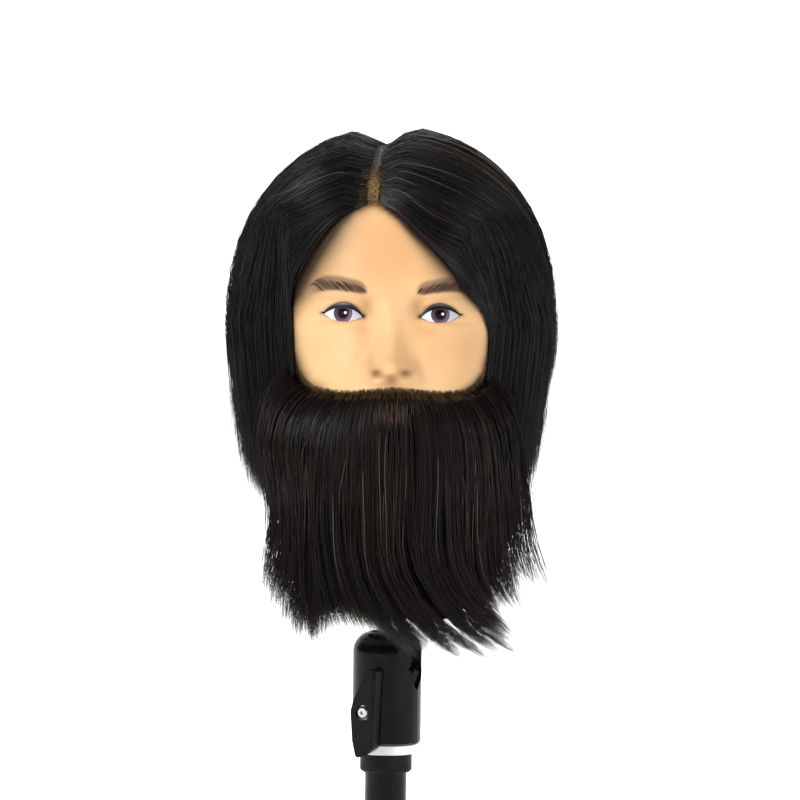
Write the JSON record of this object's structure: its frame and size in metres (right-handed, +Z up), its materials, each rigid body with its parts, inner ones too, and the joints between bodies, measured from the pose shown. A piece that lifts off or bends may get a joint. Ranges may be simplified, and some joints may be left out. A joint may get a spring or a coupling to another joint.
{
  "type": "mannequin training head",
  "caption": "Mannequin training head with long rooted hair and a full beard, on a ball-joint holder with a clamping lever and a pole end.",
  "frame": {"origin": "centre of the pole tube's lower end", "axes": "+Z up along the pole, the face looks along -Y, +X is towards the mannequin's left ear"},
  "size_m": [0.2028, 0.224, 0.4709],
  "materials": {
    "pole_paint": "gloss black paint",
    "collar_plastic": "matt moulded black",
    "plated_steel": "zinc-plated",
    "ring_aluminium": "turned, bright",
    "nylon": "natural nylon",
    "housing_plastic": "gloss black moulding",
    "black_steel": "black oxide",
    "lever_plastic": "fine-textured black",
    "bolt_steel": "bright plated",
    "ball_plastic": "satin dark grey",
    "plug_plastic": "moulded black",
    "sleeve_rubber": "matt rubber",
    "vinyl_skin": "soft matt vinyl",
    "socket_plastic": "moulded off-white",
    "hair_fibre": "dark fibre with a soft sheen",
    "beard_fibre": "very dark brown fibre"
  },
  "bodies": {
    "stand": {"pole_tube": "pole_paint", "pole_collar": "collar_plastic", "pan_stud": "plated_steel", "clamp_ring": "ring_aluminium", "pan_washer": "nylon"},
    "housing": {"housing_front": "housing_plastic", "housing_rear": "housing_plastic", "ball_seat": "nylon", "clamp_nut": "plated_steel", "housing_screws": "black_steel"},
    "lever": {"lever": "lever_plastic", "clamp_bolt": "bolt_steel", "lever_washer": "plated_steel"},
    "ball": {"ball": "ball_plastic", "stem": "plated_steel"},
    "plug": {"plug_core": "plug_plastic", "plug_sleeve": "sleeve_rubber", "plug_screw": "plated_steel"},
    "head": {"head_skin": "vinyl_skin", "neck_socket": "socket_plastic", "socket_screws": "plated_steel", "hair_left": "hair_fibre", "hair_right": "hair_fibre", "hair_back": "hair_fibre", "beard": "beard_fibre"}
  },
  "joints": [
    {"name": "pan", "type": "hinge", "parent": "stand", "child": "housing", "pos_m": [0, 0, 0.0977], "axis": [0, 0, 1], "continuous": true},
    {"name": "lever_swing", "type": "hinge", "parent": "housing", "child": "lever", "pos_m": [0, 0, 0.11725], "axis": [-0.5, -0.866, 0], "range_deg": [0, 170]},
    {"name": "tilt", "type": "hinge", "parent": "housing", "child": "ball", "pos_m": [0, 0, 0.14645], "axis": [0.5, 0.866, 0], "range_deg": [-15, 75]},
    {"name": "head_turn", "type": "hinge", "parent": "ball", "child": "plug", "pos_m": [0, 0, 0.1731], "axis": [0, 0, 1], "continuous": true},
    {"name": "head_lift", "type": "slide", "parent": "plug", "child": "head", "axis": [0, 0, 1], "range_m": [0, 0.1]}
  ]
}
